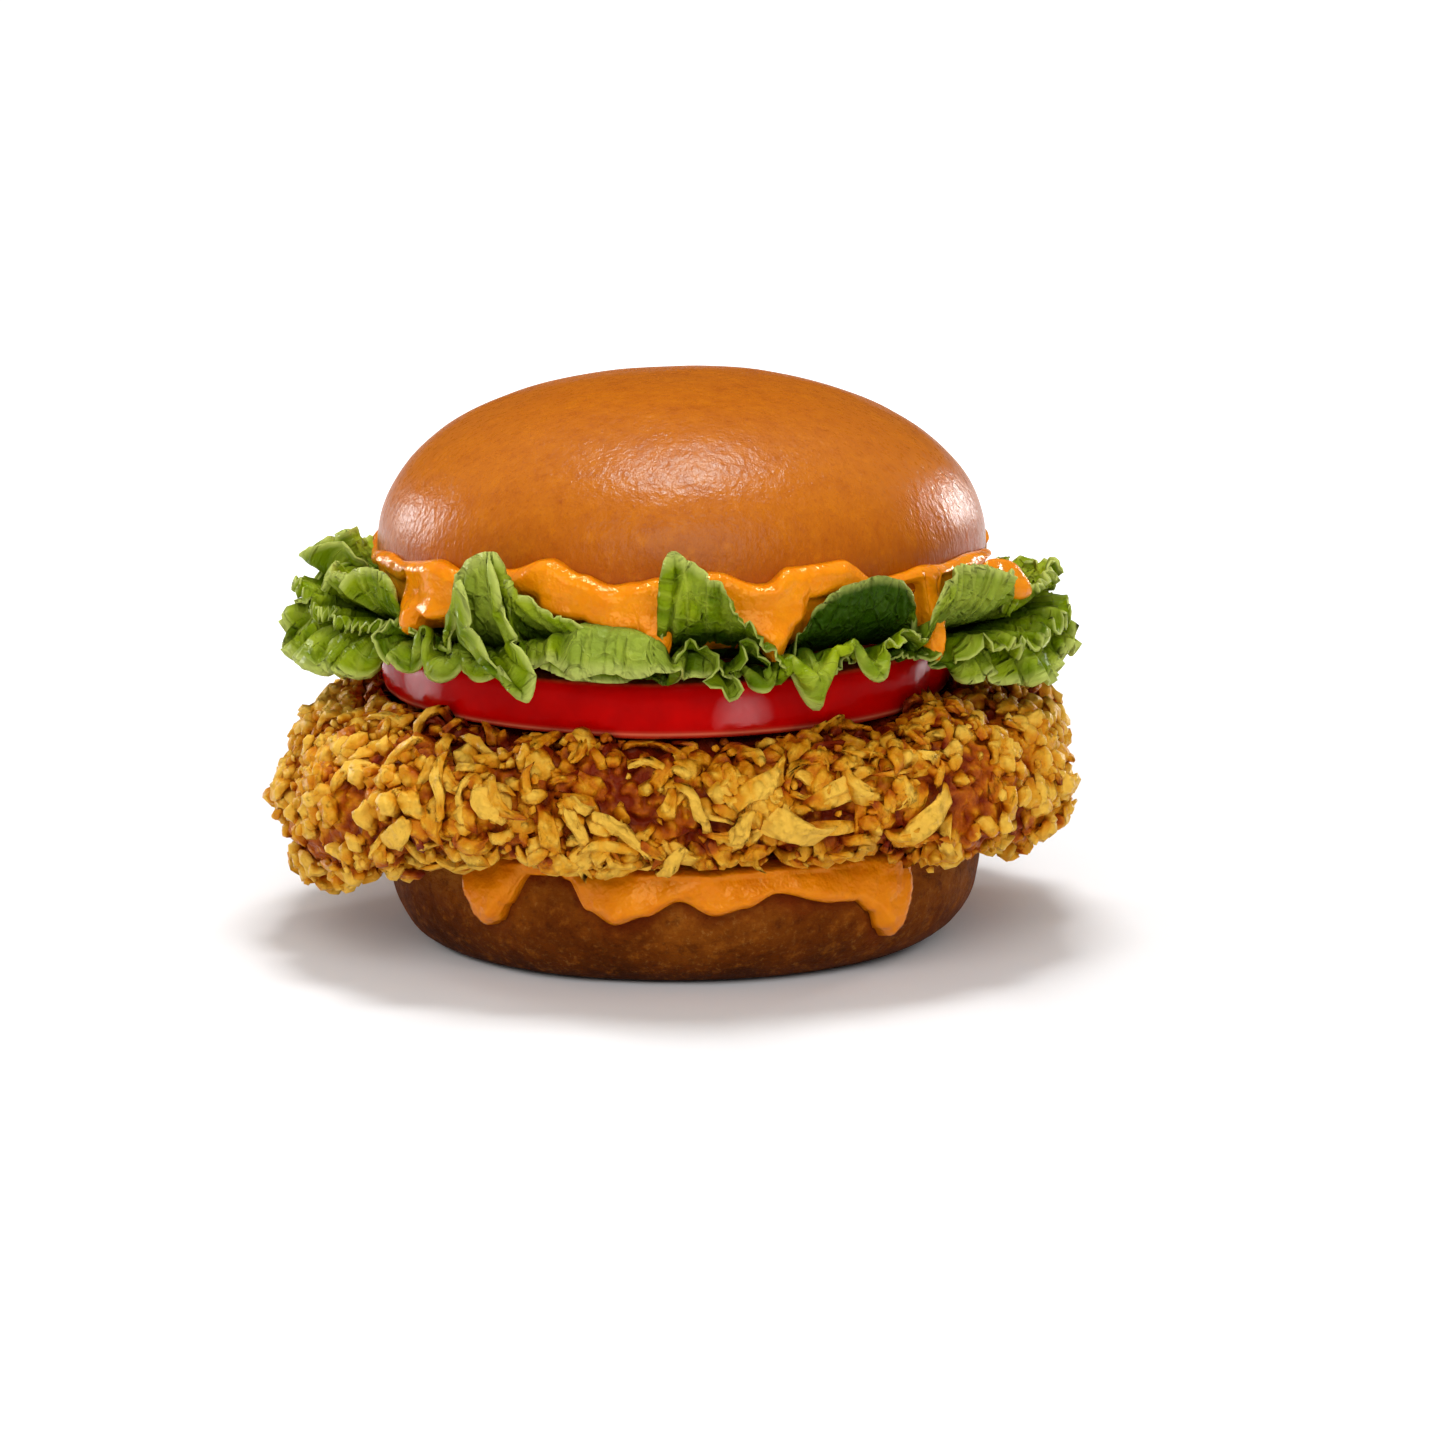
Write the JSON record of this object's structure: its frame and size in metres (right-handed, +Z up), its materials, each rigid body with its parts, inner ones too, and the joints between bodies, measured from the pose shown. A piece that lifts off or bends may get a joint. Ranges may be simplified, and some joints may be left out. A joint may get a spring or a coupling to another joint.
{
  "type": "crispy chicken burger",
  "caption": "Crispy chicken burger: glossy bun crown, sauce, lettuce leaves, tomato slice, wide craggy fried fillet hanging past the heel.",
  "frame": {"origin": "middle of the heel's flat underside, on the surface the burger stands on", "axes": "+Z up through the layers, +X to the right along the fillet's longer side, -Y towards the side shown at the front"},
  "size_m": [0.1359, 0.1204, 0.093],
  "materials": {
    "heel_crust": "matte, mottled brown bread crust",
    "sauce": "glossy, thick orange sauce",
    "fried_crust": "golden, flaky fried crust with a slight sheen",
    "tomato": "wet, glossy red",
    "leaf": "fresh leaf with a soft sheen and pale margins",
    "crown_crust": "glazed golden-brown bread crust"
  },
  "bodies": {
    "root": {"bun_heel": "heel_crust", "sauce_lower": "sauce", "fillet": "fried_crust", "tomato_slice": "tomato", "lettuce_lower": "leaf", "lettuce_upper": "leaf", "sauce_upper": "sauce", "bun_crown": "crown_crust"}
  },
  "joints": []
}
